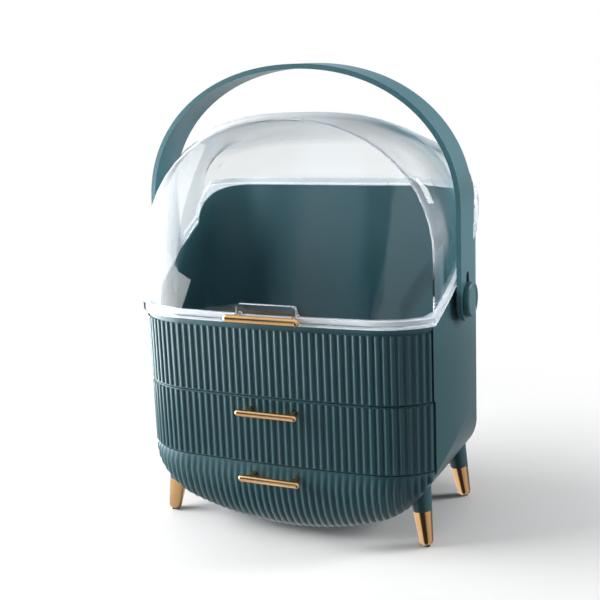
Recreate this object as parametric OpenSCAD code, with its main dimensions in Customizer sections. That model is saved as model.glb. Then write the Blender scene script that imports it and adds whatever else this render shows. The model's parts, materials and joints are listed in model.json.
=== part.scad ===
// Dustproof makeup organizer: a ribbed two-drawer vanity box on four splayed legs, with a tall
// arched back, a clear hood that flips up over the back and a flat strap handle.
// Millimetres, +Z up. The front faces -Y and the middle of the box is at x = 0.

/* [Box outline] */
// Half width of the box at its widest point
half_w = 127.4; // [110:1:150]
// Front of the box, measured from the middle (ribs' crests)
front_y = 79.5; // [70:0.5:100]
// Back of the box, measured from the middle
back_y = 83; // [70:0.5:95]
// Radius of the gently bulged front
front_bulge_r = 1167; // [600:1:3000]
// Radius of the rounded front corners
front_corner_r = 57; // [40:1:60]
// Radius of the rounded back corners
back_corner_r = 45; // [25:1:55]
// Radius of the slightly convex sides
side_bulge_r = 440; // [350:5:1200]
// Wall thickness of the moulded parts
wall = 2.6; // [2:0.1:3.5]

/* [Heights] */
// Lowest point of the box above the table
belly_z = 5; // [3:0.5:15]
// Seam between the lower drawer and the upper drawer
seam_low_z = 63.8; // [58:0.2:70]
// Seam between the upper drawer and the tray
seam_high_z = 118.3; // [110:0.1:126]
// Top edge of the tray at the front
tray_front_z = 176.5; // [165:0.5:190]
// Top edge of the arched back wall
back_top_z = 262; // [240:1:280]
// Crown of the clear hood
hood_top_z = 330; // [310:1:345]

/* [Ribs] */
// Ribs on each side of the middle one
rib_side_count = 22; // [18:1:22]
// How far the ribs stand off the front
rib_h = 1.5; // [0.8:0.1:2]
// Roundness of a rib
rib_r = 2.3; // [2:0.1:2.6]

/* [Belly] */
// Radius of the bottom sweep seen from the front
belly_r = 215; // [180:5:300]
// How far in from the widest point the bottom sweep turns into the side
belly_in = 47.4; // [37:0.1:57]
// How far the lower drawer's foot tucks back under
tuck = 27; // [10:1:28]

/* [Handle] */
// Width of the strap
strap_w = 34; // [26:1:38]
// Thickness of the strap
strap_t = 3.8; // [3:0.1:5]
// How far the top of the strap stands above the hood's crown
strap_rise = 37; // [25:1:55]
// Height of the handle's pivots
pivot_z = 186; // [180:1:190]
// Pivot's place from front to back
pivot_y = -1; // [-5:1:3]

/* [Gold bars] */
// Half length of the drawer bars
drawer_bar_l = 26.2; // [20:0.2:34]
// Half length of the hood bar
hood_bar_l = 31.6; // [24:0.2:38]
// Distance of the bars from the front
bar_off = 10.5; // [9:0.5:13]

/* [Legs] */
// Splay of the legs to the side, in degrees
splay_x = 8.5; // [0:0.5:12]
// Splay of the legs to front and back, in degrees
splay_y = 6; // [0:0.5:9]
// Height of the gold tips
tip_h = 28; // [20:1:34]

/* [Hidden] */
$fn = 96;
eps = 0.01;
far = 400;
// ---- outline of the box seen from above
corner_x = half_w - 51.74;
front_r_gap = front_bulge_r - front_corner_r;
// the corner circles stand this much proud, so that they cross the bulge instead of grazing it
cross = 0.05;
corner_y = -front_y + front_bulge_r - sqrt(front_r_gap * front_r_gap - corner_x * corner_x) - cross;
meet_a = asin(corner_x / front_r_gap);
meet_x = front_bulge_r * sin(meet_a);
meet_s = front_bulge_r * meet_a * PI / 180;
side_cy = 18;
back_cx = half_w - 0.3 - back_corner_r;
back_cy = back_y - back_corner_r;
face_x = half_w - 5.8;
// the ribs share the front from crease to crease
face_arc = meet_s + front_corner_r * (asin((face_x - corner_x) / front_corner_r) - meet_a) * PI / 180;
rib_pitch = face_arc / (rib_side_count + 0.5);
face_y = -49.3;
jamb_x = face_x - 2.2;
// ---- outline seen from the front
belly_x = half_w - belly_in;
belly_a = asin(belly_x / belly_r);
belly_corner_r = (half_w - belly_x) / (1 - sin(belly_a));
belly_cx = half_w - belly_corner_r;
belly_cz = belly_z + belly_r - (belly_r - belly_corner_r) * cos(belly_a) - cross;
// ---- slanted edge between tray and hood
edge_y0 = -54;
edge_y1 = 43;
edge_slope = 0.57;
edge_z1 = tray_front_z + (edge_y1 - edge_y0) * edge_slope;
edge_y2 = back_y - 3;
edge_pow = 1.7;
edge_gap = 0.35;
flange_h = 6.5;
// ---- gaps, floors and rails
seam_gap = 0.7;
floor_t = 2.4;
rail_gap = 0.05;
shelf_t = 2.4;
shelf_z = seam_low_z - 2.6;
rail_h = 1.4;
rail_w = 6;
rail_x = half_w - 37.4;
low_rail_x = 45;
tray_half_w = jamb_x - 0.4;
drawer_back = 3.6;
drawer_wall = 2.2;
upper_floor_z = shelf_z + shelf_t + rail_h + rail_gap;
upper_wall_z = seam_high_z - 6.8;
lower_floor_z = 15.4 + belly_z;
lower_wall_z = shelf_z - 4.8;
ledge_w = 3.6;
stop_y = -43;
stop_w = 3;
// ---- hinge
hinge_y = back_y + 6.5;
hinge_drop = 40;
hinge_z = back_top_z - hinge_drop;
hinge_r = 4.2;
hinge_pin_r = 1.5;
hinge_fit = 0.06;
hinge_half = 62;
knuckle_w = 12;
arm_gap = 0.35;
arm_t = 3.6;
// ---- handle
strap_top_z = hood_top_z + strap_rise;
strap_in_x = half_w + 1.85;
strap_out_x = strap_in_x + strap_t;
strap_arch_z = hood_top_z - 74;
strap_pow = 2.1;
stud_r = 5.5;
stud_fit = 0.06;
cap_r = 13.5;
cap_t = 4.3;
boss_r = 9.5;
lobe_r = strap_w / 2;
// ---- bars
upper_bar_z = 107.7;
lower_bar_z = 54.6;
hood_bar_z = tray_front_z + 5.4;
bar_r = 2.6;
hood_bar_r = 3.1;
post_r = 2.4;
post_in = 8;
screw_r = 1.2;
// ---- legs
leg_x = half_w - 21.9;
leg_front_y = -42.5;
leg_back_y = 54;
leg_top_z = 46;
leg_r_floor = 5.3;
leg_r_tip = 7.4;
leg_r_top = 9.2;
leg_foot_z = 1;

teal = [0.2, 0.36, 0.38];
gold = [0.85, 0.65, 0.38];
clear = [0.85, 0.92, 0.96, 0.35];
steel = [0.7, 0.7, 0.72];

// ================= outlines =================

// Box seen from above, drawn inset by o.
module plan2d(o = 0) {
  cut_x = (front_bulge_r - o) * sin(meet_a);
  intersection() {
    translate([half_w - side_bulge_r, side_cy]) circle(r = side_bulge_r - o, $fn = 720);
    translate([side_bulge_r - half_w, side_cy]) circle(r = side_bulge_r - o, $fn = 720);
    union() {
      // bulged front
      intersection() {
        translate([0, front_bulge_r - front_y]) circle(r = front_bulge_r - o, $fn = 1440);
        translate([-cut_x, -front_y - 2]) square([2 * cut_x, front_y + 2 + corner_y]);
      }
      // rounded front corners
      for (s = [-1, 1]) translate([s * corner_x, corner_y]) circle(r = front_corner_r - o);
      // middle
      translate([-far / 2, corner_y - eps]) square([far, back_cy - corner_y + 2 * eps]);
      // rounded back
      for (s = [-1, 1]) translate([s * back_cx, back_cy]) circle(r = back_corner_r - o);
      translate([-back_cx, back_cy]) square([2 * back_cx, back_corner_r - o]);
    }
  }
}

// Box seen from the front, drawn inset by o.
module front2d(o = 0) {
  cut_x = (belly_r - o) * sin(belly_a);
  intersection() {
    translate([0, belly_z + belly_r]) circle(r = belly_r - o, $fn = 360);
    translate([-cut_x, 0]) square([2 * cut_x, belly_cz]);
  }
  for (s = [-1, 1]) translate([s * belly_cx, belly_cz]) circle(r = belly_corner_r - o);
  translate([-half_w + o, belly_cz]) square([2 * (half_w - o), far]);
}

// Height of the box's underside at x.
function belly(x) = abs(x) <= belly_x
  ? belly_z + belly_r - sqrt(belly_r * belly_r - x * x)
  : belly_cz - sqrt(max(0, belly_corner_r * belly_corner_r - (abs(x) - belly_cx) * (abs(x) - belly_cx)));

// Solid of the box between two heights, inset by o.
module block(o, z0, z1) {
  intersection() {
    translate([0, 0, z0]) linear_extrude(z1 - z0) plan2d(o);
    rotate([90, 0, 0]) linear_extrude(far, center = true) front2d(o);
  }
}

// Straight block of the box between two heights, above the rounded belly.
module upright(o, z0, z1) {
  translate([0, 0, z0]) linear_extrude(z1 - z0) plan2d(o);
}

// Box given by its low and high corner.
module span(a, b) {
  translate(a) cube(b - a);
}

// Shape drawn in Y and Z, drawn out along X to both sides.
module across(w = far) {
  rotate([90, 0, 90]) linear_extrude(w, center = true) children();
}

// ---- ribs: place and direction of rib i on the front
function rib_s(i) = i * rib_pitch;
function rib_a(i) = abs(rib_s(i)) <= meet_s
  ? abs(rib_s(i)) / front_bulge_r * 180 / PI
  : meet_a + (abs(rib_s(i)) - meet_s) / front_corner_r * 180 / PI;
function rib_sgn(i) = i < 0 ? -1 : 1;
function rib_x(i, o) = abs(rib_s(i)) <= meet_s
  ? rib_sgn(i) * (front_bulge_r - o) * sin(rib_a(i))
  : rib_sgn(i) * (corner_x + (front_corner_r - o) * sin(rib_a(i)));
function rib_y(i, o) = abs(rib_s(i)) <= meet_s
  ? -front_y + front_bulge_r - (front_bulge_r - o) * cos(rib_a(i))
  : corner_y - (front_corner_r - o) * cos(rib_a(i));

module ribs2d() {
  for (i = [-rib_side_count:rib_side_count])
    translate([rib_x(i, rib_r), rib_y(i, rib_r)]) circle(r = rib_r, $fn = 24);
}

// Everything of the front face, ahead of the jamb.
module face2d(o) {
  intersection() {
    plan2d(o);
    translate([-face_x, -front_y - 1]) square([2 * face_x, front_y + 1 + face_y]);
  }
}

// ================= slanted edge =================

function edge_z(y) = y <= edge_y0 ? tray_front_z
  : y <= edge_y1 ? tray_front_z + (y - edge_y0) * edge_slope
  : y >= edge_y2 ? back_top_z
  : edge_z1 + (back_top_z - edge_z1)
    * pow(1 - pow((edge_y2 - y) / (edge_y2 - edge_y1), edge_pow), 1 / edge_pow);
edge_steps = 14;
edge_ys = concat([-far / 2, edge_y0], [for (k = [0:edge_steps])
  edge_y1 + (edge_y2 - edge_y1) * (1 - cos(90 * k / edge_steps))], [far / 2]);

// Everything below the edge, raised by up.
module below_edge(up = 0) {
  polygon(concat([for (y = edge_ys) [y, edge_z(y) + up]], [[far / 2, -10], [-far / 2, -10]]));
}

// Everything above the edge, raised by up and kept clear ahead of the steep part of the edge.
function edge_ahead(y) = y < edge_y1 || y > edge_y2 ? 0 : 1.4 * (edge_y2 - y) / (edge_y2 - edge_y1);
module above_edge(up = 0) {
  polygon(concat([for (y = edge_ys) [y - up * edge_ahead(y), edge_z(y) + up]],
    [[far / 2, far + 200], [-far / 2, far + 200]]));
}

// ================= moulded box =================

module housing() {
  color(teal) {
    difference() {
      block(0, 0, seam_high_z);
      block(wall, 0, seam_high_z + 1);
      span([-face_x - 0.4, -far / 2, -1], [face_x + 0.4, face_y + 0.3, seam_high_z + 1]);
      for (sx = [-1, 1]) for (sy = [-1, 1]) leg_screw(sx, sy, 0.2);
    }
    // jamb behind the drawer fronts
    difference() {
      intersection() {
        block(wall - 0.1, 0, seam_high_z - 3);
        span([-far / 2, face_y + 0.3, 0], [far / 2, face_y + 3.3, seam_high_z - 3]);
      }
      jamb_opening(0);
    }
    // ledge that carries the middle shelf
    difference() {
      intersection() {
        block(wall - 0.1, shelf_z - 3.5, shelf_z);
        span([-far / 2, face_y + 0.3, 0], [far / 2, far / 2, far]);
      }
      block(wall + ledge_w, shelf_z - 6, shelf_z + 6);
      span([-55, back_y - 15, 0], [55, far / 2, far]);
    }
    // rails of the lower drawer
    for (s = [-1, 1]) intersection() {
      block(wall - 0.1, 0, lower_floor_z - rail_gap);
      span([s * low_rail_x - rail_w / 2, face_y + 6, 0], [s * low_rail_x + rail_w / 2, back_y - 5, far]);
    }
    // flange the tray is screwed to
    difference() {
      intersection() {
        upright(wall - 0.1, seam_high_z - 2.8, seam_high_z);
        span([-far / 2, face_y + 0.3, 0], [far / 2, far / 2, far]);
      }
      upright(wall + 11, seam_high_z - 6, seam_high_z + 1);
      for (p = tray_screw_at) translate([p[0], p[1], seam_high_z - 5]) cylinder(r = screw_r, h = 10, $fn = 24);
      span([-jamb_x, -far / 2, 0], [jamb_x, face_y + 4, far]);
    }
  }
}

// Opening of the jamb that the drawers slide through, inset by o.
module jamb_opening(o) {
  intersection() {
    rotate([90, 0, 0]) linear_extrude(far, center = true) front2d(wall + 3.4 + o);
    span([-jamb_x + o, -far / 2, 0], [jamb_x - o, far / 2, seam_high_z + 1]);
  }
}

tray_screw_x = half_w - 14.4;
tray_screw_at = [for (y = [-31, 43]) for (s = [-1, 1]) [s * tray_screw_x, y]];

module top_tray() {
  color(teal) difference() {
    union() {
      intersection() {
        union() {
          // smooth sides and back
          intersection() {
            upright(0, seam_high_z, back_top_z);
            union() {
              span([-far / 2, -front_y - 2, 0], [-face_x, far / 2, far]);
              span([face_x, -front_y - 2, 0], [far / 2, far / 2, far]);
              span([-far / 2, face_y, 0], [far / 2, far / 2, far]);
            }
          }
          // front with ribs and a smooth band above them
          upright(rib_h, seam_high_z, back_top_z);
          translate([0, 0, seam_high_z + 1.2]) linear_extrude(tray_front_z - seam_high_z - 6.2) intersection() {
            ribs2d();
            face2d(-1);
          }
          translate([0, 0, tray_front_z - 3]) linear_extrude(3) face2d(0.4);
        }
        across() below_edge(0);
      }
      // hinge knuckles on the back
      for (x = knuckle_tray) tray_knuckle(x);
      // flat bosses for the handle's pivots
      for (s = [-1, 1]) translate([s * (half_w - 1.5), pivot_y, pivot_z]) rotate([0, s * 90, 0])
        cylinder(r = boss_r, h = 3);
    }
    upright(wall + rib_h * 0.4, seam_high_z + floor_t + 0.4, far);
    for (s = [-1, 1]) translate([0, pivot_y, pivot_z]) rotate([0, s * 90, 0])
      cylinder(r = stud_r + stud_fit, h = far / 2);
    translate([-far / 2, hinge_y, hinge_z]) rotate([0, 90, 0])
      cylinder(r = hinge_pin_r + 0.02, h = far, $fn = 48);
    for (p = tray_screw_at) translate([p[0], p[1], seam_high_z - 1]) cylinder(r = screw_r + 0.4, h = 10, $fn = 24);
  }
  // rib under the floor that stops the upper drawer
  color(teal) span([-60, stop_y, seam_high_z - 5.4], [60, stop_y + stop_w, seam_high_z + eps]);
}

knuckle_tray = [-hinge_half + knuckle_w / 2, 0, hinge_half - knuckle_w / 2];
knuckle_hood = [-28, 28];

module tray_knuckle(x) {
  translate([x - knuckle_w / 2, hinge_y, hinge_z]) rotate([0, 90, 0]) cylinder(r = hinge_r, h = knuckle_w);
  // foot of the knuckle on the wall
  translate([x - knuckle_w / 2, 0, 0]) rotate([90, 0, 90]) linear_extrude(knuckle_w)
    polygon([[back_y - 1, hinge_z + hinge_r - 0.6], [hinge_y, hinge_z + hinge_r - 0.6],
             [hinge_y, hinge_z - hinge_r + 0.6], [back_y - 1, hinge_z - 2 * hinge_r]]);
}

module middle_shelf() {
  color(teal) {
    difference() {
      block(wall + 0.3, shelf_z, shelf_z + shelf_t);
      span([-far / 2, -far / 2, 0], [far / 2, face_y + 3.6, far]);
    }
    // tongue that reaches forward between the jambs
    intersection() {
      jamb_opening(0.3);
      span([-far / 2, face_y + 0.4, shelf_z], [far / 2, face_y + 4.6, shelf_z + shelf_t]);
    }
    for (s = [-1, 1]) span([s * rail_x - rail_w / 2, face_y + 1, shelf_z + shelf_t - eps],
                           [s * rail_x + rail_w / 2, back_y - 8, shelf_z + shelf_t + rail_h]);
    span([-60, stop_y, shelf_z - 3.2], [60, stop_y + stop_w, shelf_z + eps]);
  }
}

// ================= drawers =================

// Tray part of a drawer seen from above, inset by o.
module drawer2d(o) {
  intersection() {
    plan2d(drawer_back + o);
    translate([-tray_half_w + o, -far / 2]) square([2 * (tray_half_w - o), far]);
  }
}

// Hollow of a drawer seen from above.
module hollow2d() {
  intersection() {
    union() {
      plan2d(drawer_back + drawer_wall);
      intersection() {
        plan2d(rib_h + wall);
        translate([-far / 2, -far / 2]) square([far, far / 2]);
      }
    }
    translate([-tray_half_w + drawer_wall, -far / 2]) square([2 * (tray_half_w - drawer_wall), far]);
  }
}

// Flat seats and screw holes for a bar's posts, cut into a drawer front at height z; the screws'
// heads bear on the plane y = head_y inside.
module post_seats(z, head_y) {
  for (s = [-1, 1]) translate([s * (drawer_bar_l - post_in), 0, z]) rotate([90, 0, 0]) {
    translate([0, 0, front_y - rib_h]) cylinder(r = post_r + 0.3, h = 5, $fn = 32);
    translate([0, 0, front_y - 10]) cylinder(r = screw_r + 0.3, h = 12, $fn = 24);
    translate([0, 0, -head_y - 3]) cylinder(r = 3, h = 3, $fn = 32);
  }
}

module upper_drawer() {
  color(teal) difference() {
    union() {
      translate([0, 0, seam_low_z + seam_gap / 2]) linear_extrude(seam_high_z - seam_low_z - 1.5 * seam_gap)
        face2d(rib_h);
      translate([0, 0, seam_low_z + seam_gap / 2 + 1.1])
        linear_extrude(seam_high_z - seam_low_z - 1.5 * seam_gap - 2.2) intersection() {
          ribs2d();
          face2d(-1);
        }
      intersection() {
        translate([0, 0, upper_floor_z]) linear_extrude(upper_wall_z - upper_floor_z) drawer2d(0);
        rotate([90, 0, 0]) linear_extrude(far, center = true) front2d(wall + 4.4);
      }
      // stop lip at the back
      span([-50, back_y - drawer_back - drawer_wall - 1, upper_wall_z - 2],
           [50, back_y - drawer_back - 0.6, seam_high_z - 3.3]);
    }
    intersection() {
      translate([0, 0, upper_floor_z + floor_t]) linear_extrude(far) intersection() {
        hollow2d();
        translate([-far / 2, -far / 2]) square([far, far / 2 + back_y - drawer_back - drawer_wall - 1]);
      }
      rotate([90, 0, 0]) linear_extrude(far, center = true) front2d(wall + 6.8);
    }
    post_seats(upper_bar_z, upper_head_y);
  }
}

// ---- the lower drawer's front: ribs that follow the tucked belly
rib_cut = 4;
face_cols = (2 * rib_side_count + 1) * rib_cut;
face_rows = 7;
face_top_z = seam_low_z - seam_gap / 2;
tuck_top_z = 53;
// arc length at column c, and how far a rib stands out there
function col_s(c) = -face_arc + 2 * face_arc * c / face_cols;
function col_bump(s) = rib_h * pow(abs(cos(180 * s / rib_pitch)), 0.7);
function col_a(s) = abs(s) <= meet_s ? abs(s) / front_bulge_r * 180 / PI
  : meet_a + (abs(s) - meet_s) / front_corner_r * 180 / PI;
function col_x(s, o) = sign(s) * (abs(s) <= meet_s ? (front_bulge_r - o) * sin(col_a(s))
  : corner_x + (front_corner_r - o) * sin(col_a(s)));
function col_y(s, o) = abs(s) <= meet_s ? -front_y + front_bulge_r - (front_bulge_r - o) * cos(col_a(s))
  : corner_y - (front_corner_r - o) * cos(col_a(s));
// the tuck shrinks toward the sides, where the belly rises
function tuck_at(low, z) = let (k = (tuck_top_z - low) / (tuck_top_z - belly_z))
  k <= 0 || z >= tuck_top_z ? 0
  : tuck * k * (1 - sqrt(max(0, 1 - pow((tuck_top_z - z) / (tuck_top_z - low), 2))));
function row_z(r, low) = face_top_z - (face_top_z - low) * sin(90 * r / (face_rows - 1));
function face_pt(c, r) = let (s = col_s(c), low = belly(col_x(s, 0)) + 0.05, z = row_z(r, low),
    o = r == 0 ? rib_h : rib_h - col_bump(s))
  [col_x(s, o), min(face_y - 0.3, col_y(s, o) + tuck_at(low, z)), z];

// Closed body between the ribbed front and the plane y = face_y.
module lower_face() {
  n = face_cols + 1;
  m = n * face_rows;
  last = face_rows - 1;
  front = [for (r = [0:last]) for (c = [0:face_cols]) face_pt(c, r)];
  back = [for (r = [0, last]) for (c = [0:face_cols]) let (p = face_pt(c, r)) [p[0], face_y, p[2]]];
  faces = concat(
    [for (r = [0:last - 1]) for (c = [0:face_cols - 1]) let (a = r * n + c) each [[a, a + 1, a + n], [a + 1, a + n + 1, a + n]]],
    [for (c = [0:face_cols - 1]) each [[c, m + c, c + 1], [c + 1, m + c, m + c + 1]]],
    [for (c = [0:face_cols - 1]) let (a = last * n + c, b = m + n + c) each [[a, a + 1, b], [a + 1, b + 1, b]]],
    [for (c = [0:face_cols - 1]) let (a = m + c, b = m + n + c) each [[a, b, a + 1], [a + 1, b, b + 1]]],
    [for (r = [0:last - 1]) [m, r * n, r * n + n]], [[m, last * n, m + n]],
    [for (r = [0:last - 1]) [m + face_cols, r * n + n + face_cols, r * n + face_cols]],
    [[m + face_cols, m + n + face_cols, last * n + face_cols]]);
  polyhedron(points = concat(front, back), faces = faces);
}

// Side view of the hollow behind the tucked front.
lower_wall = wall + 1;
inner_tuck = tuck + 13;
inner_tuck_h = tuck_top_z + 3 - belly_z - 3;
inner_steps = 8;
module inner_tuck2d() {
  polygon(concat([[far, far], [-front_y + rib_h + lower_wall, far]],
    [for (k = [0:inner_steps]) let (t = 60 * k / inner_steps)
      [-front_y + rib_h + lower_wall + inner_tuck * (1 - cos(t)), tuck_top_z + 3 - inner_tuck_h * sin(t)]],
    [[far, tuck_top_z + 3 - inner_tuck_h * sin(60)]]));
}

module lower_drawer() {
  color(teal) difference() {
    union() {
      lower_face();
      intersection() {
        translate([0, 0, lower_floor_z]) linear_extrude(lower_wall_z - lower_floor_z) drawer2d(0);
        rotate([90, 0, 0]) linear_extrude(far, center = true) front2d(wall + 4.4);
        span([-far / 2, face_y - 2, 0], [far / 2, far / 2, far]);
      }
      span([-50, back_y - drawer_back - drawer_wall - 1, lower_wall_z - 2],
           [50, back_y - drawer_back - 0.6, shelf_z - 1]);
    }
    // hollow behind the front and in the tray
    intersection() {
      translate([0, 0, lower_floor_z + floor_t]) linear_extrude(far) intersection() {
        hollow2d();
        translate([-far / 2, -far / 2]) square([far, far / 2 + back_y - drawer_back - drawer_wall - 1]);
        plan2d(rib_h + lower_wall);
      }
      rotate([90, 0, 0]) linear_extrude(far, center = true) front2d(wall + 6.8);
      across() inner_tuck2d();
    }
    post_seats(lower_bar_z, lower_head_y);
  }
}

// ================= gold bars and their screws =================

// Bar with rounded ends and two posts; the posts end at y = seat.
module bar(l, r, z, y, seat) {
  color(gold) difference() {
    union() {
      translate([-l + r, y, z]) rotate([0, 90, 0]) cylinder(r = r, h = 2 * (l - r), $fn = 48);
      for (s = [-1, 1]) {
        translate([s * (l - r), y, z]) sphere(r = r, $fn = 48);
        translate([s * (l - post_in), seat, z]) rotate([90, 0, 0]) cylinder(r = post_r, h = seat - y, $fn = 32);
      }
    }
    for (s = [-1, 1]) translate([s * (l - post_in), seat + 1, z]) rotate([90, 0, 0])
      cylinder(r = screw_r, h = 7.5, $fn = 24);
  }
}

// Two pan-head screws driven forward into the posts; the heads bear on y = seat.
module bar_screws(l, z, seat, tip) {
  color(steel) for (s = [-1, 1]) translate([s * (l - post_in), seat, z]) rotate([90, 0, 0]) {
    cylinder(r = screw_r, h = seat - tip, $fn = 24);
    translate([0, 0, -1.6]) difference() {
      cylinder(r = 2.6, h = 1.6, $fn = 32);
      translate([-2, -0.3, -1]) cube([4, 0.6, 1.6]);
      translate([-0.3, -2, -1]) cube([0.6, 4, 1.6]);
    }
  }
}

bar_y = -front_y - bar_off;
post_seat_y = -front_y + rib_h;
upper_head_y = -front_y + rib_h + wall - 0.2;
lower_head_y = -front_y + rib_h + lower_wall - 0.2;

module upper_drawer_bar() { bar(drawer_bar_l, bar_r, upper_bar_z, bar_y, post_seat_y); }
module lower_drawer_bar() { bar(drawer_bar_l, bar_r, lower_bar_z, bar_y, post_seat_y); }
module upper_bar_screws() { bar_screws(drawer_bar_l, upper_bar_z, upper_head_y, post_seat_y - 5); }
module lower_bar_screws() { bar_screws(drawer_bar_l, lower_bar_z, lower_head_y, post_seat_y - 5); }

// ================= clear hood =================

hood_t = 2;
// front panel: its rim is an arch that leans back, its middle bulges out to the tray's front
rim_y = face_y - 0.7;
rim_slope = 0.053;
rim_w = face_x + 0.2;
rim_top_z = hood_top_z - 2;
rim_pow = 2.1;
panel_out = 0.4;
panel_pow = 2.2;
lean_pow = 1.5;
lean_z = tray_front_z + 6.5;
// crown behind the panel, and the fall to the back
arch_z = 223.7;
crown_pow = 2.65;
crown_y = -9;
flare_len = 46;
hood_back_y = back_y - 0.3;
hood_back_z = back_top_z + flange_h + 1.5;
flange_out = 2.6;
low_skirt = 1.5;
hood_rows = 14;
hood_secs = 13;
hood_cols = 12;

function ease(t) = let (k = min(1, max(0, t))) k * k * (3 - 2 * k);
// half width of the box at y, inset by o
function side_x(y, o) = y > back_cy
  ? min(back_cx + sqrt(max(0, pow(back_corner_r - 0.3 - o, 2) - pow(y - back_cy, 2))),
        half_w - side_bulge_r + sqrt(pow(side_bulge_r - 0.3 - o, 2) - pow(y - side_cy, 2)))
  : half_w - side_bulge_r + sqrt(pow(side_bulge_r - 0.3 - o, 2) - pow(y - side_cy, 2));
// front of the box at x
function front_at(x) = abs(x) <= meet_x ? -front_y + front_bulge_r - sqrt(pow(front_bulge_r, 2) - x * x)
  : corner_y - sqrt(pow(front_corner_r, 2) - pow(abs(x) - corner_x, 2));
// section k of the crown, from the panel's rim (k = 0) to the back, inset by o
function sec_y(k, o) = let (y0 = rim_y + 0.6 * o, y1 = hood_back_y - o)
  y0 + (y1 - y0) * (1 - cos(180 * k / hood_secs)) / 2;
function sec_top(y, o) = (y <= crown_y ? hood_top_z - (hood_top_z - rim_top_z) * pow((crown_y - y) / (crown_y - rim_y), 2)
  : hood_back_z + (hood_top_z - hood_back_z) * sqrt(max(0, 1 - pow((y - crown_y) / (hood_back_y + 0.02 - crown_y), 2)))) - o;
function sec_low(y) = edge_z(y) + edge_gap - low_skirt;
// point of a section: row 0 is the left foot, hood_rows the top and 2 * hood_rows the right foot
function sec_pt(k, j, o) = let (
    y = sec_y(k, o), flare = ease((y - rim_y) / flare_len), w = k == 0 ? rim_w - o : min(side_x(y, o),
      rim_w - o + (half_w - rim_w) * 3 * flare),
    top = sec_top(min(y, hood_back_y), o), low = sec_low(y), spring = min(top - 2, max(arch_z, low + low_skirt + 2)),
    n = rim_pow + (crown_pow - rim_pow) * flare, row = j <= hood_rows ? j : 2 * hood_rows - j,
    t = row < 1 ? 0 : 90 * (row - 1) / (hood_rows - 1), c = cos(t), q = sin(t), f = pow(pow(c, n) + pow(q, n), -1 / n),
    x = row == hood_rows ? 0 : w * c * f, z = row == 0 ? low : spring + (top - spring) * q * f)
  [j <= hood_rows ? -x : x, y + (1 - flare) * rim_slope * (z - low), z];
// point of the front panel: row as above, u from -1 at the left rim to 1 at the right rim
function panel_pt(j, u, o) = let (
    rim = sec_pt(0, j, o), top = sec_pt(0, hood_rows, o), w = abs(rim[0]),
    k = pow(max(0, (rim[2] - lean_z) / (top[2] - lean_z)), lean_pow),
    y0 = -front_y + panel_out + o, mid = y0 + (top[1] - y0) * k,
    base = (front_at(u * rim_w) + front_y) / (front_at(rim_w) + front_y),
    blend = max(0, (rim[2] - lean_z) / (top[2] - lean_z)),
    y = mid + (rim[1] - mid) * ((1 - blend) * base + blend * pow(abs(u), panel_pow)))
  [u * w, y, j == 0 ? sec_low(y) : rim[2]];

// Closed thin shell of the hood, down to a little below its edge.
module hood_shell() {
  m = 2 * hood_rows + 1;
  inner = m * (hood_secs + 1) + hood_rows * (hood_cols - 1);
  points = [for (o = [0, hood_t]) each concat(
    [for (k = [0:hood_secs]) for (j = [0:2 * hood_rows]) sec_pt(k, j, o)],
    [for (j = [0:hood_rows - 1]) for (c = [1:hood_cols - 1]) panel_pt(j, 2 * c / hood_cols - 1, o)])];
  function at(j, c) = c == 0 ? j : c == hood_cols ? 2 * hood_rows - j
    : m * (hood_secs + 1) + j * (hood_cols - 1) + c - 1;
  back = m * hood_secs;
  top = hood_rows;
  outside = concat(
    [for (k = [0:hood_secs - 1]) for (j = [0:2 * hood_rows - 1]) let (a = k * m + j)
      each [[a, a + m, a + m + 1], [a, a + m + 1, a + 1]]],
    [for (j = [0:hood_rows - 2]) for (c = [0:hood_cols - 1])
      each [[at(j, c), at(j + 1, c), at(j + 1, c + 1)], [at(j, c), at(j + 1, c + 1), at(j, c + 1)]]],
    [for (c = [0:hood_cols - 1]) [at(hood_rows - 1, c), top, at(hood_rows - 1, c + 1)]],
    [for (j = [0:hood_rows - 2]) let (l = back + j, r = back + m - 1 - j)
      each [[l, r, r - 1], [l, r - 1, l + 1]]],
    [[back + hood_rows - 1, back + hood_rows + 1, back + hood_rows]]);
  foot = concat([for (c = [0:hood_cols]) at(0, c)], [for (k = [1:hood_secs]) k * m + m - 1],
    [for (k = [hood_secs:-1:1]) k * m]);
  count = len(foot);
  rim = [for (i = [0:count - 1]) let (a = foot[i], b = foot[(i + 1) % count])
    each [[a, b, b + inner], [a, b + inner, a + inner]]];
  polyhedron(points = points,
    faces = concat(outside, [for (f = outside) [f[2] + inner, f[1] + inner, f[0] + inner]], rim));
}

hood_seat_y = -front_y + panel_out + hood_t - 0.2;

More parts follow.
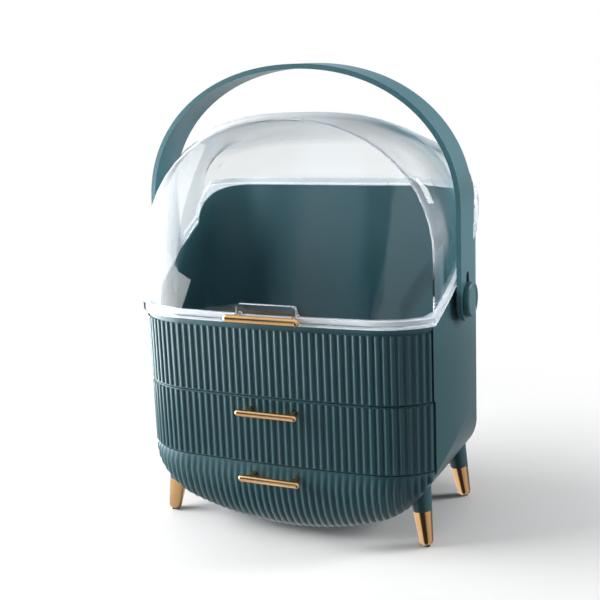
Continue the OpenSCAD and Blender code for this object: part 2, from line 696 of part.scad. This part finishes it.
module hood() {
  color(clear) difference() {
    union() {
      intersection() {
        hood_shell();
        across() above_edge(edge_gap);
      }
      // lip that sits on the tray's edge
      difference() {
        intersection() {
          translate([0, 0, 100]) linear_extrude(far) intersection() {
            plan2d(-flange_out);
            translate([-half_w - 1.3, -far / 2]) square([2 * half_w + 2.6, far / 2 + back_y + 1.3]);
          }
          across() intersection() {
            above_edge(edge_gap);
            below_edge(flange_h);
          }
        }
        translate([0, 0, 90]) linear_extrude(far) plan2d(0.3 + 0.5 * hood_t);
      }
      // raised tab behind the bar
      intersection() {
        span([-25, -front_y - flange_out, tray_front_z + 2], [25, -front_y + 1.4, tray_front_z + 15]);
        rotate([90, 0, 0]) linear_extrude(far, center = true) {
          translate([-25, tray_front_z]) square([50, 11.5]);
          translate([-21.5, tray_front_z]) square([43, 15]);
          for (s = [-1, 1]) translate([s * 21.5, tray_front_z + 11.5]) circle(r = 3.5, $fn = 32);
        }
      }
      for (x = knuckle_hood) hood_knuckle(x);
    }
    translate([-far / 2, hinge_y, hinge_z]) rotate([0, 90, 0])
      cylinder(r = hinge_pin_r + hinge_fit, h = far, $fn = 48);
    for (s = [-1, 1]) translate([s * (hood_bar_l - post_in), 0, hood_bar_z]) rotate([90, 0, 0]) {
      translate([0, 0, front_y - 10]) cylinder(r = screw_r + 0.3, h = 20, $fn = 24);
      translate([0, 0, -hood_seat_y - 3]) cylinder(r = 3, h = 3, $fn = 32);
    }
  }
}

// Arm that reaches down behind the tray's back wall to the pin.
module hood_knuckle(x) {
  translate([x - knuckle_w, hinge_y, hinge_z]) rotate([0, 90, 0]) cylinder(r = hinge_r, h = 2 * knuckle_w);
  span([x - knuckle_w, back_y + arm_gap, hinge_z], [x + knuckle_w, back_y + arm_gap + arm_t, back_top_z + 2]);
  span([x - knuckle_w, back_y - 1, back_top_z + 1.2],
    [x + knuckle_w, back_y + arm_gap + arm_t, back_top_z + flange_h - 0.6]);
}

hood_bar_y = -front_y - flange_out - 8.5;
module hood_bar() { bar(hood_bar_l, hood_bar_r, hood_bar_z, hood_bar_y, -front_y - flange_out); }
module hood_bar_screws() { bar_screws(hood_bar_l, hood_bar_z, hood_seat_y, -front_y - flange_out - 5); }

module hinge_pin() {
  color(steel) translate([-hinge_half, hinge_y, hinge_z]) rotate([0, 90, 0])
    cylinder(r = hinge_pin_r, h = 2 * hinge_half, $fn = 48);
}

// ================= handle =================

strap_steps = 36;
module arch2d(o) {
  a = strap_out_x - o;
  b = strap_top_z - strap_arch_z - o;
  polygon(concat([[a, 0]],
    [for (k = [0:2 * strap_steps]) let (t = 90 * k / strap_steps, c = cos(t), s = sin(t))
      [a * sign(c) * pow(abs(c), 2 / strap_pow), strap_arch_z + b * pow(abs(s), 2 / strap_pow)]],
    [[-a, 0]]));
}

module handle() {
  color(teal) difference() {
    intersection() {
      translate([0, pivot_y, 0]) rotate([90, 0, 0]) linear_extrude(strap_w, center = true) difference() {
        arch2d(0);
        arch2d(strap_t);
      }
      across() {
        translate([pivot_y - lobe_r, pivot_z]) square([strap_w, far]);
        translate([pivot_y, pivot_z]) circle(r = lobe_r);
      }
    }
    // keyholes that let the strap over the studs
    across() {
      translate([pivot_y, pivot_z]) circle(r = stud_r + stud_fit, $fn = 64);
      translate([pivot_y - keyhole_r, pivot_z + stud_r - 1]) square([2 * keyhole_r, keyhole_h - stud_r + 1]);
      translate([pivot_y, pivot_z + keyhole_h]) circle(r = keyhole_r, $fn = 48);
    }
  }
}
keyhole_r = 3.6;
keyhole_h = 18;

// Stud through the tray's side wall that the strap turns on; s is the side.
module pivot_stud(s) {
  color(teal) translate([0, pivot_y, pivot_z]) rotate([0, s * 90, 0]) difference() {
    union() {
      translate([0, 0, half_w - wall - 3.9]) cylinder(r = 9, h = 2.3);
      translate([0, 0, half_w - wall - 3.9]) cylinder(r = stud_r, h = strap_out_x + 0.3 - (half_w - wall - 3.9));
    }
    translate([0, 0, strap_out_x - 6]) cylinder(r = 2, h = 10, $fn = 32);
  }
}

module pivot_cap(s) {
  color(teal) translate([0, pivot_y, pivot_z]) rotate([0, s * 90, 0]) {
    translate([0, 0, strap_out_x + 0.3]) rotate_extrude($fn = 96)
      polygon([[0, 0], [cap_r, 0], [cap_r, cap_t - 1], [cap_r - 1, cap_t], [cap_r - 2.2, cap_t],
               [cap_r - 2.8, cap_t - 0.6], [0, cap_t - 0.6]]);
    translate([0, 0, strap_out_x - 5]) cylinder(r = 1.98, h = 6, $fn = 32);
  }
}

module pivot_stud_left() { pivot_stud(-1); }
module pivot_stud_right() { pivot_stud(1); }
module pivot_cap_left() { pivot_cap(-1); }
module pivot_cap_right() { pivot_cap(1); }

// ================= legs =================

// Places something on the axis of a leg; sx and sy say which corner.
module on_leg(sx, sy) {
  translate([sx * leg_x, sy < 0 ? leg_front_y : leg_back_y, leg_top_z])
    rotate([sy * splay_y, -sx * splay_x, 0]) mirror([0, 0, 1]) children();
}
leg_len = leg_top_z / cos(splay_x) / cos(splay_y);
leg_tip_at = leg_len - tip_h;

module leg(sx, sy) {
  color(teal) difference() {
    on_leg(sx, sy) {
      translate([0, 0, -14]) cylinder(r1 = leg_r_top + 0.8, r2 = leg_r_tip, h = leg_tip_at + 14, $fn = 64);
      cylinder(r = 4, h = leg_len - 8, $fn = 48);
    }
    block(0, -5, far);
    leg_screw(sx, sy, 0);
  }
}

module leg_tip(sx, sy) {
  color(gold) difference() {
    on_leg(sx, sy) translate([0, 0, leg_tip_at]) rotate_extrude($fn = 64)
      polygon([[4.05, 0], [leg_r_tip, 0], [leg_r_floor, tip_h - 4], [leg_r_floor - 0.7, tip_h - 2.2],
               [leg_r_floor - 2, tip_h - 1.2], [2.5, tip_h - 1.2], [2.5, tip_h - 5], [4.05, tip_h - 7]]);
    span([-far, -far, -20], [far, far, 0.4]);
  }
}

module foot_pads() {
  color([0.15, 0.15, 0.15]) for (sx = [-1, 1]) for (sy = [-1, 1]) intersection() {
    on_leg(sx, sy) translate([0, 0, leg_len - 5]) cylinder(r = 2.45, h = 8, $fn = 32);
    span([-far, -far, 0], [far, far, 10]);
  }
}

screw_in_a = atan((leg_x - belly_cx) / (belly_cz - belly(leg_x)));
module leg_screw(sx, sy, grow) {
  translate([sx * belly_cx, sy < 0 ? leg_front_y : leg_back_y, belly_cz]) rotate([0, 180 - sx * screw_in_a, 0])
    translate([0, 0, belly_corner_r - wall - 0.1]) {
      cylinder(r = screw_r + grow, h = 9, $fn = 24);
      translate([0, 0, -1.5]) cylinder(r = 2.8, h = 1.5, $fn = 32);
    }
}

module leg_screws() {
  color(steel) for (sx = [-1, 1]) for (sy = [-1, 1]) leg_screw(sx, sy, 0);
}

module tray_screws() {
  color(steel) for (p = tray_screw_at) translate([p[0], p[1], seam_high_z + floor_t + 0.4]) {
    translate([0, 0, -7]) cylinder(r = screw_r, h = 7, $fn = 24);
    difference() {
      cylinder(r = 2.8, h = 1.8, $fn = 32);
      translate([-2, -0.3, 0.9]) cube([4, 0.6, 2]);
      translate([-0.3, -2, 0.9]) cube([0.6, 4, 2]);
    }
  }
}

module leg_front_left() { leg(-1, -1); }
module leg_front_right() { leg(1, -1); }
module leg_back_left() { leg(-1, 1); }
module leg_back_right() { leg(1, 1); }
module leg_tip_front_left() { leg_tip(-1, -1); }
module leg_tip_front_right() { leg_tip(1, -1); }
module leg_tip_back_left() { leg_tip(-1, 1); }
module leg_tip_back_right() { leg_tip(1, 1); }

housing();
top_tray();
middle_shelf();
upper_drawer();
lower_drawer();
upper_drawer_bar();
lower_drawer_bar();
upper_bar_screws();
lower_bar_screws();
hood();
hood_bar();
hood_bar_screws();
hinge_pin();
handle();
pivot_stud_left();
pivot_stud_right();
pivot_cap_left();
pivot_cap_right();
leg_front_left();
leg_front_right();
leg_back_left();
leg_back_right();
leg_tip_front_left();
leg_tip_front_right();
leg_tip_back_left();
leg_tip_back_right();
foot_pads();
leg_screws();
tray_screws();
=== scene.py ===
"""Dustproof makeup organizer: materials, camera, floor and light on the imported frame.

Metres, in the frame of the CAD model: the drawers' fronts face -Y and the table is at z = 0.
"""
import json
import math

import bpy
from mathutils import Matrix, Vector

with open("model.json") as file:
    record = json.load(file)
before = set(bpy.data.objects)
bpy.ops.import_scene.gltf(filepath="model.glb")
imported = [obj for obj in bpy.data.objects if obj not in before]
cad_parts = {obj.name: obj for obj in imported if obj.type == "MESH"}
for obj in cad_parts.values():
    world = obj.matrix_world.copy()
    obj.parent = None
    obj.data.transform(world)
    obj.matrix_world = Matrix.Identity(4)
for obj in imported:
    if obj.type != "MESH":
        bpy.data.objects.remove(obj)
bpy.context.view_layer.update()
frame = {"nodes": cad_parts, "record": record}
NODES = frame["nodes"]
WHITE = (1, 1, 1, 1)

# ---------------------------------------------------------------- camera
YAW, PITCH, ROLL = (math.radians(a) for a in (24.68, 12.38, -2.41))
TARGET = Vector((-0.0129, 0.0095, 0.1752))
DISTANCE = 0.9023
SENSOR_MM = 36
PHOTO_PX = 600
FOCAL_PX = 1087


def add_camera():
    """The camera fitted to the photo."""
    back = Vector((math.sin(YAW) * math.cos(PITCH), -math.cos(YAW) * math.cos(PITCH), math.sin(PITCH)))
    level = Vector((math.cos(YAW), math.sin(YAW), 0))
    up = back.cross(level)
    right = level * math.cos(ROLL) + up * math.sin(ROLL)
    up = up * math.cos(ROLL) - level * math.sin(ROLL)
    data = bpy.data.cameras.new("camera")
    data.sensor_fit = "HORIZONTAL"
    data.sensor_width = SENSOR_MM
    data.lens = FOCAL_PX / PHOTO_PX * SENSOR_MM
    data.clip_end = 50
    cam = bpy.data.objects.new("camera", data)
    bpy.context.scene.collection.objects.link(cam)
    turn = Matrix((right, up, back)).transposed().to_4x4()
    cam.matrix_world = Matrix.Translation(TARGET + back * DISTANCE) @ turn
    bpy.context.scene.camera = cam


# ---------------------------------------------------------------- shader nodes
class Nodes:
    """Adds shader nodes to a tree and gives back their output sockets."""

    def __init__(self, tree):
        self.tree = tree

    def node(self, kind, inputs=None, **props):
        n = self.tree.nodes.new(kind)
        for key, value in props.items():
            setattr(n, key, value)
        for key, value in (inputs or {}).items():
            if isinstance(value, bpy.types.NodeSocket):
                self.tree.links.new(value, n.inputs[key])
            else:
                n.inputs[key].default_value = value
        return n

    def coords(self, kind):
        return self.node("ShaderNodeTexCoord").outputs[kind]

    def split(self, vector):
        return self.node("ShaderNodeSeparateXYZ", {0: vector}).outputs

    def calc(self, operation, *values):
        return self.node("ShaderNodeMath", dict(enumerate(values)), operation=operation).outputs[0]

    def span(self, value, start, end, low=0.0, high=1.0, blend="LINEAR"):
        """Go from low to high while the value goes from start to end, and hold both beyond."""
        inputs = {"Value": value, "From Min": start, "From Max": end, "To Min": low, "To Max": high}
        return self.node("ShaderNodeMapRange", inputs, interpolation_type=blend).outputs["Result"]

    def drop(self, value, start, end, blend="LINEAR"):
        """Go from 1 to 0 while the value goes from start to end."""
        return self.span(value, start, end, 1.0, 0.0, blend)

    def steps(self, fac, stops):
        """Grey value ramp through (place, value) stops."""
        n = self.node("ShaderNodeValToRGB", {"Fac": fac})
        elements = n.color_ramp.elements
        elements.remove(elements[1])
        for k, (place, value) in enumerate(stops):
            e = elements[0] if k == 0 else elements.new(place)
            e.position, e.color = place, (value, value, value, 1)
        return n.outputs["Color"]

    def mix(self, fac, first, second, blend="MIX"):
        inputs = {"Fac": fac, "Color1": first, "Color2": second}
        return self.node("ShaderNodeMixRGB", inputs, blend_type=blend).outputs["Color"]

    def join(self, fac, first, second):
        """Mix two shaders."""
        return self.node("ShaderNodeMixShader", {0: fac, 1: first, 2: second}).outputs["Shader"]

    def ring_level(self, direction, ring, tint=WHITE):
        """Brightness of a ring of surroundings in a direction, its dim parts tinted."""
        xyz = self.split(direction)
        bearing = self.calc("ARCTAN2", xyz["X"], self.calc("MULTIPLY", xyz["Y"], -1.0))
        share = self.span(bearing, -math.pi, math.pi)
        bright = self.steps(share, [((degrees + 180) / 360, value) for degrees, value in ring])
        tinted = self.mix(self.calc("POWER", bright, 3.0), tint, WHITE)
        return self.mix(1.0, bright, tinted, "MULTIPLY")

    def sight(self):
        """Two factors of the ray: seen straight or by mirrors and glass alone, and mirrored once."""
        path = self.node("ShaderNodeLightPath").outputs
        seen = self.calc("MAXIMUM", path["Is Camera Ray"], path["Is Glossy Ray"])
        seen = self.calc("MAXIMUM", seen, path["Is Transmission Ray"])
        seen = self.calc("MULTIPLY", seen, self.calc("LESS_THAN", path["Diffuse Depth"], 0.5))
        mirrored = self.calc("COMPARE", path["Glossy Depth"], 1.0, 0.5)
        return seen, mirrored


class Shader(Nodes):
    """A node material built around a Principled BSDF."""

    def __init__(self, name, **sockets):
        self.mat = bpy.data.materials.new(name)
        self.mat.use_nodes = True
        super().__init__(self.mat.node_tree)
        self.bsdf = self.tree.nodes["Principled BSDF"]
        for key, value in sockets.items():
            self.bsdf.inputs[key.replace("_", " ")].default_value = value

    def link(self, socket, name):
        self.tree.links.new(socket, self.bsdf.inputs[name])

    def show(self, shader):
        """Make this shader the material's surface."""
        self.tree.links.new(shader, self.tree.nodes["Material Output"].inputs["Surface"])

    def noise(self, scale, detail):
        inputs = {"Vector": self.coords("Object"), "Scale": scale, "Detail": detail, "Roughness": 0.5}
        return self.node("ShaderNodeTexNoise", inputs).outputs["Fac"]

    def cloud(self, color, low, high, scale, detail):
        """Base colour that drifts between two tones of itself."""
        n = self.node("ShaderNodeValToRGB", {"Fac": self.noise(scale, detail)})
        for element, place, k in zip(n.color_ramp.elements, (0.3, 0.7), (low, high)):
            element.position, element.color = place, tone(color, k)
        self.link(n.outputs["Color"], "Base Color")

    def uneven(self, low, high, scale, detail):
        """Roughness that drifts between two values."""
        self.link(self.span(self.noise(scale, detail), 0.0, 1.0, low, high), "Roughness")

    def bump(self, distance, strength, scale, detail):
        inputs = {"Height": self.noise(scale, detail), "Distance": distance, "Strength": strength}
        self.link(self.node("ShaderNodeBump", inputs).outputs["Normal"], "Normal")


def tone(color, k):
    return tuple(c * k for c in color[:3]) + (1.0,)


# ---------------------------------------------------------------- materials
TEAL = (0.041, 0.119, 0.140)
GOLD = (0.76, 0.45, 0.21)

# the tray's slanted edge, which the hood's lip follows: y and z where it starts at the front, where it
# turns steeper, and y where it ends, that much higher
EDGE_FRONT_Y, EDGE_FRONT_Z = -0.054, 0.1765
EDGE_TURN_Y, EDGE_TURN_Z = 0.043, 0.2318
EDGE_END_Y, EDGE_RISE = 0.060, 0.0295
# painted highlights, bands of diffuse white on the lip's beads, from LIP_SKIRT below its foot to LIP_H above
# it
LIP_H, LIP_SKIRT = 0.0072, 0.006
LIP_PAINTED_HIGHLIGHTS = ((0, 0), (0.08, 0), (0.14, 0.6), (0.55, 0.55), (0.6, 0.08), (0.67, 0.1), (0.72, 0.65), (0.92, 0.7),
       (0.985, 0))
# painted sheen of the clear plastic (diffuse white in place of its reflections), and darkness of its painted
# outline, against how edge-on it is seen
PAINTED_SHEEN = ((0, 0), (0.36, 0), (0.44, 0.3), (0.6, 0.42), (0.75, 0.62), (0.92, 0.6), (0.975, 0.12), (1, 0.04))
PAINTED_OUTLINE = ((0, 0), (0.72, 0), (0.8, 0.85), (1, 0.9))
# the same at the left front corner, where a stronger painted sheen stands in for the white reflection that
# hides the strap behind it
CORNER_PAINTED_SHEEN = ((0, 0), (0.2, 0), (0.36, 0.5), (0.5, 0.8), (0.8, 0.85), (1, 0.1))
CORNER_PAINTED_OUTLINE = ((0, 0), (0.25, 0), (0.45, 1), (1, 1))
# the box's right flank, and the heights above the edge over which its painted sheen sets in
RIGHT_X = (0.0, 0.06)
RIGHT_PAINTED_SHEEN_HEIGHT = (0.022, 0.06)
# where the left front corner's painted sheen and painted outline fade out
CORNER_X = (-0.105, -0.085)
CORNER_Y = (0.0, 0.03)
# parts of the surface's normal, which bound the painted outline: upright surfaces, and the corner's ridge
UPRIGHT_Z = (0.7, 0.88)
RIDGE_X = (-0.72, -0.55)
RIDGE_Y = (-0.38, -0.25)
# colours of the painted sheen and lip highlights (white) and of the painted dark outline
PAINTED_SHEEN_WHITE = (0.90, 0.94, 0.98, 1.0)
PAINTED_OUTLINE_DARK = (0.03, 0.055, 0.06, 1.0)
SHADOW_TINT = (0.95, 0.965, 0.975, 1.0)


def moulded(name, color, rough):
    """Satin moulded plastic: faint flow variation and fine grain."""
    s = Shader(name, IOR=1.5, Specular_IOR_Level=0.45)
    s.cloud(color, 0.97, 1.03, scale=5.0, detail=1.5)
    s.uneven(rough - 0.02, rough + 0.02, scale=260.0, detail=3.0)
    s.bump(0.00002, 0.1, scale=700.0, detail=1.0)
    return s.mat


def plated(name, color, rough):
    """Polished plating with fine grain and slightly duller clouds."""
    s = Shader(name, Metallic=1.0)
    s.cloud(color, 0.92, 1.05, scale=60.0, detail=3.0)
    s.uneven(rough - 0.04, rough + 0.06, scale=240.0, detail=4.0)
    s.bump(0.00001, 0.2, scale=1500.0, detail=2.0)
    return s.mat


def height_over_edge(s, place):
    """Height above the tray's slanted edge."""
    slope = s.span(place["Y"], EDGE_FRONT_Y, EDGE_TURN_Y, EDGE_FRONT_Z, EDGE_TURN_Z)
    rise = s.span(place["Y"], EDGE_TURN_Y, EDGE_END_Y, 0.0, EDGE_RISE)
    return s.calc("SUBTRACT", place["Z"], s.calc("ADD", slope, rise))


def painted_hood_sheen(s, place, over, facing, corner):
    """Painted sheen, diffuse white at grazing angles in place of reflections; the right flank stays clearer
    over its lowest part.
    """
    left = s.drop(place["X"], *RIGHT_X)
    high = s.span(over, *RIGHT_PAINTED_SHEEN_HEIGHT, blend="SMOOTHSTEP")
    sheen = s.calc("MULTIPLY", s.steps(facing, PAINTED_SHEEN), s.calc("MAXIMUM", left, high))
    # stronger painted sheen at the left front corner
    return s.calc("MAXIMUM", sheen, s.calc("MULTIPLY", s.steps(facing, CORNER_PAINTED_SHEEN), corner))


def painted_hood_outline(s, facing, corner):
    """Painted dark outline of upright surfaces seen edge-on, wider at the left front corner."""
    turned = s.split(s.coords("Normal"))
    upright = s.drop(turned["Z"], *UPRIGHT_Z)
    ridge = s.calc("MULTIPLY", s.drop(turned["X"], *RIDGE_X), s.drop(turned["Y"], *RIDGE_Y))
    ridge = s.calc("MULTIPLY", ridge, corner)
    wide = s.calc("MULTIPLY", s.steps(facing, CORNER_PAINTED_OUTLINE), ridge)
    return s.calc("MULTIPLY", s.calc("MAXIMUM", s.steps(facing, PAINTED_OUTLINE), wide), upright)


def clear(name, tint, rough):
    """Clear polished plastic with a painted sheen at grazing angles, a painted dark outline where it is seen
    edge-on and painted highlights on its thick lip.

    Light goes straight through it for shadows.
    """
    s = Shader(name, IOR=1.46, Roughness=rough, Transmission_Weight=1.0, Base_Color=tint)
    s.bump(0.0004, 0.08, scale=14.0, detail=1.0)
    place = s.split(s.coords("Object"))
    over = height_over_edge(s, place)
    facing = s.node("ShaderNodeLayerWeight", {"Blend": 0.5}).outputs["Facing"]
    corner = s.calc("MULTIPLY", s.drop(place["X"], *CORNER_X), s.drop(place["Y"], *CORNER_Y))
    # painted highlights on the lip, by height above the tray's edge
    lip_painted_highlights = s.steps(s.span(over, -LIP_SKIRT, LIP_H), LIP_PAINTED_HIGHLIGHTS)
    # painted dark outline at edge-on silhouettes
    painted_outline_share = painted_hood_outline(s, facing, corner)
    # share of painted light: the strongest of the painted sheen, the lip's painted highlights and the painted
    # outline
    painted_sheen_share = s.calc("MAXIMUM", painted_hood_sheen(s, place, over, facing, corner), lip_painted_highlights)
    painted_sheen_share = s.calc("MAXIMUM", painted_sheen_share, painted_outline_share)
    # diffuse layer mixed into the glass: white for the painted sheen and highlights, dark for the painted
    # outline
    painted_sheen_layer = s.node("ShaderNodeBsdfDiffuse", {"Color": s.mix(painted_outline_share, PAINTED_SHEEN_WHITE, PAINTED_OUTLINE_DARK)}).outputs["BSDF"]
    body = s.join(painted_sheen_share, s.bsdf.outputs["BSDF"], painted_sheen_layer)
    through = s.node("ShaderNodeBsdfTransparent", {"Color": SHADOW_TINT}).outputs["BSDF"]
    s.show(s.join(s.node("ShaderNodeLightPath").outputs["Is Shadow Ray"], body, through))
    return s.mat


MATERIALS = {
    "case_plastic": moulded("case_plastic", TEAL, 0.31),
    "drawer_plastic": moulded("drawer_plastic", tone(TEAL, 0.98), 0.30),
    # the strap's plastic is a 1.3 times lighter copy of the teal: painted light for the brighter sheen its
    # leg catches
    "handle_plastic": moulded("handle_plastic", tone(TEAL, 1.3), 0.36),
    "leg_plastic": moulded("leg_plastic", TEAL, 0.31),
    "clear_plastic": clear("clear_plastic", (0.97, 0.985, 0.99, 1.0), 0.02),
    "gold": plated("gold", GOLD, 0.13),
    "screw_steel": plated("screw_steel", (0.55, 0.55, 0.57), 0.34),
    "pin_steel": plated("pin_steel", (0.6, 0.6, 0.62), 0.22),
    "pad_rubber": moulded("pad_rubber", (0.03, 0.03, 0.03), 0.8),
}


def dress_nodes():
    """Every CAD node takes the material of its slot in the record."""
    for part in frame["record"]["subparts"]:
        obj = NODES[part["node"]]
        obj.data.materials.clear()
        obj.data.materials.append(MATERIALS[part["material_slot"]])


# ---------------------------------------------------------------- smooth shading
WELD = 0.00002
# angle in degrees between facets, below which the shading runs round them
SMOOTH_BELOW = {"hood": 24, "lower_drawer": 44, "handle": 20}


def smooth_group(name, limit):
    """Node group that welds the facets and rounds the shading where they meet below limit degrees."""
    group = bpy.data.node_groups.new(name, "GeometryNodeTree")
    group.interface.new_socket("Geometry", in_out="INPUT", socket_type="NodeSocketGeometry")
    group.interface.new_socket("Geometry", in_out="OUTPUT", socket_type="NodeSocketGeometry")
    nodes, links = group.nodes, group.links
    source, sink = nodes.new("NodeGroupInput"), nodes.new("NodeGroupOutput")
    merge = nodes.new("GeometryNodeMergeByDistance")
    merge.inputs["Distance"].default_value = WELD
    angle = nodes.new("GeometryNodeInputMeshEdgeAngle")
    sharp = nodes.new("FunctionNodeCompare")
    sharp.operation = "GREATER_THAN"
    sharp.inputs[1].default_value = math.radians(limit)
    shade = nodes.new("GeometryNodeSetMeshNormal")
    shade.mode = "SHARPNESS"
    shade.inputs["Remove Custom"].default_value = True
    shade.inputs["Face Sharpness"].default_value = False
    links.new(source.outputs[0], merge.inputs["Geometry"])
    links.new(merge.outputs["Geometry"], shade.inputs["Mesh"])
    links.new(angle.outputs["Unsigned Angle"], sharp.inputs[0])
    links.new(sharp.outputs["Result"], shade.inputs["Edge Sharpness"])
    links.new(shade.outputs["Mesh"], sink.inputs[0])
    return group


def smooth_facets():
    """The lofted hood, the ribbed belly and the bent strap shade as the curves they stand for."""
    for name, limit in SMOOTH_BELOW.items():
        mod = NODES[name].modifiers.new("smooth", "NODES")
        mod.node_group = smooth_group("smooth_" + name, limit)


# ---------------------------------------------------------------- surroundings
# What glossy surfaces mirror all round, as (bearing, brightness). A bearing is in degrees from straight
# ahead of the drawers, positive to the right. Dark gaps between bright panels bring out the ribs.
ROOM = ((-180, 0.5), (-150, 1.0), (-62, 1.0), (-56, 0.9), (-50, 0.06), (-27, 0.05), (-20, 0.75),
        (-6, 0.6), (0, 0.1), (14, 0.08), (17, 0.9), (62, 0.8), (84, 0.6), (98, 0.95), (116, 0.8),
        (126, 0.3), (138, 0.75), (168, 0.75))
COOL = (0.5, 0.95, 1.2, 1)
# the same below the horizon
NEAR_FLOOR = ((-180, 0.4), (-150, 1.0), (-40, 1.0), (-26, 0.7), (-16, 0.04), (40, 0.04), (50, 0.45),
              (84, 0.6), (98, 0.7), (116, 0.5), (138, 0.1), (180, 0.4))
# heights of the direction, from level 0 to straight up 1, over which the room turns plain white
ROOM_TOP = (0.45, 0.8)
WORLD_LIGHT = 0.12
SKY = (0.97, 0.98, 1.0, 1)

FLOOR_RADIUS = 2.6
FLOOR_DROP = 0.0002
PAPER_SEEN = (0.95, 0.95, 0.95, 1)
PAPER_BOUNCE = (0.35, 0.35, 0.35, 1)
# share of its paleness that the paper loses when it is mirrored
MIRROR_LOSS = 0.45
# distances from the middle, over which the floor turns white, lets mirrored rays through to the ring below
# the horizon, and shows them the room instead
FADE = (0.2, 0.5)
OPEN = (0.2, 0.3)
FAR = (0.7, 0.95)
# the floor also lets mirrored rays through from here toward the right
OPEN_X = (-0.07, -0.03)


def add_floor():
    """Pale floor that keeps the shadow and fades into the white surroundings."""
    bpy.ops.mesh.primitive_circle_add(vertices=96, radius=FLOOR_RADIUS, fill_type="NGON",
                                      location=(0, 0, -FLOOR_DROP))
    floor = bpy.context.object
    floor.name = "floor"
    s = Shader("floor_paper", Roughness=0.9)
    coords = s.coords("Object")
    away = s.node("ShaderNodeVectorMath", {0: coords}, operation="LENGTH").outputs["Value"]
    seen, mirrored = s.sight()
    paper = s.bsdf.outputs["BSDF"]
    direct = s.calc("MULTIPLY", seen, s.calc("MULTIPLY_ADD", mirrored, -MIRROR_LOSS, 1.0))
    s.link(s.mix(direct, PAPER_BOUNCE, PAPER_SEEN), "Base Color")

    fade = s.calc("MULTIPLY", s.span(away, *FADE, blend="SMOOTHSTEP"), seen)
    white = s.node("ShaderNodeEmission", {"Color": WHITE, "Strength": 1.0}).outputs["Emission"]
    plain = s.join(fade, paper, white)

    through = s.node("ShaderNodeBsdfTransparent").outputs["BSDF"]
    room = {"Color": s.ring_level(coords, ROOM, COOL), "Strength": 1.0}
    room = s.node("ShaderNodeEmission", room).outputs["Emission"]
    opened = s.calc("MAXIMUM", s.span(away, *OPEN, blend="SMOOTHSTEP"), s.span(s.split(coords)["X"], *OPEN_X))
    mirror = s.join(opened, paper, through)
    mirror = s.join(s.span(away, *FAR, blend="SMOOTHSTEP"), mirror, room)
    s.show(s.join(mirrored, plain, mirror))
    floor.data.materials.append(s.mat)


def set_world():
    """Soft light for the object, white surroundings for the eye, and two rings of bright and dark
    panels, above and below the horizon, for mirrored rays."""
    world = bpy.data.worlds.new("studio")
    bpy.context.scene.world = world
    world.use_nodes = True
    world.node_tree.nodes.clear()
    w = Nodes(world.node_tree)
    seen, mirrored = w.sight()
    toward = w.coords("Generated")
    height = w.split(toward)["Z"]
    dim = w.calc("MULTIPLY", w.drop(height, *ROOM_TOP, blend="SMOOTHSTEP"), mirrored)
    above = w.calc("GREATER_THAN", height, 0.0)
    around = w.mix(above, w.ring_level(toward, NEAR_FLOOR), w.ring_level(toward, ROOM, COOL))
    white = w.node("ShaderNodeBackground", {"Color": w.mix(dim, WHITE, around), "Strength": 1.0})
    soft = w.node("ShaderNodeBackground", {"Color": SKY, "Strength": WORLD_LIGHT})
    w.node("ShaderNodeOutputWorld", {"Surface": w.join(seen, soft.outputs[0], white.outputs[0])})


# ---------------------------------------------------------------- lamps
def add_lamp(name, place, aim, size, power, mirrored=True, lights=True):
    """Area lamp at a place, turned to aim; it can be left out of mirrors, or seen in them alone."""
    data = bpy.data.lights.new(name, "AREA")
    data.shape = "RECTANGLE"
    data.size, data.size_y = size
    data.energy = power
    lamp = bpy.data.objects.new(name, data)
    lamp.visible_camera = lamp.visible_transmission = False
    lamp.visible_glossy, lamp.visible_diffuse = mirrored, lights
    bpy.context.scene.collection.objects.link(lamp)
    lamp.location = place
    lamp.rotation_euler = (Vector(aim) - Vector(place)).to_track_quat("-Z", "Y").to_euler()


def add_lamps():
    """Key from the left, a fill from behind on the right and a soft top; strip and panel only mirror."""
    add_lamp("strip", place=(-0.42, -0.065, 0.13), aim=(0.2, -0.065, 0.13), size=(0.87, 0.24), power=5.0,
             lights=False)
    add_lamp("panel", place=(-0.42, 0.1, 0.525), aim=(0.2, 0.1, 0.525), size=(0.8, 0.55), power=6.5,
             lights=False)
    add_lamp("key", place=(-1.1, -0.45, 0.55), aim=(0, 0, 0.15), size=(1.0, 0.8), power=28, mirrored=False)
    add_lamp("side", place=(1.35, 0.78, 0.7), aim=(0, 0, 0.18), size=(0.5, 1.0), power=18)
    add_lamp("top", place=(0.2, -0.1, 1.9), aim=(0, 0, 0.2), size=(1.2, 1.2), power=7, mirrored=False)


add_camera()
dress_nodes()
smooth_facets()
add_floor()
set_world()
add_lamps()

bpy.context.scene.view_settings.view_transform = "Standard"
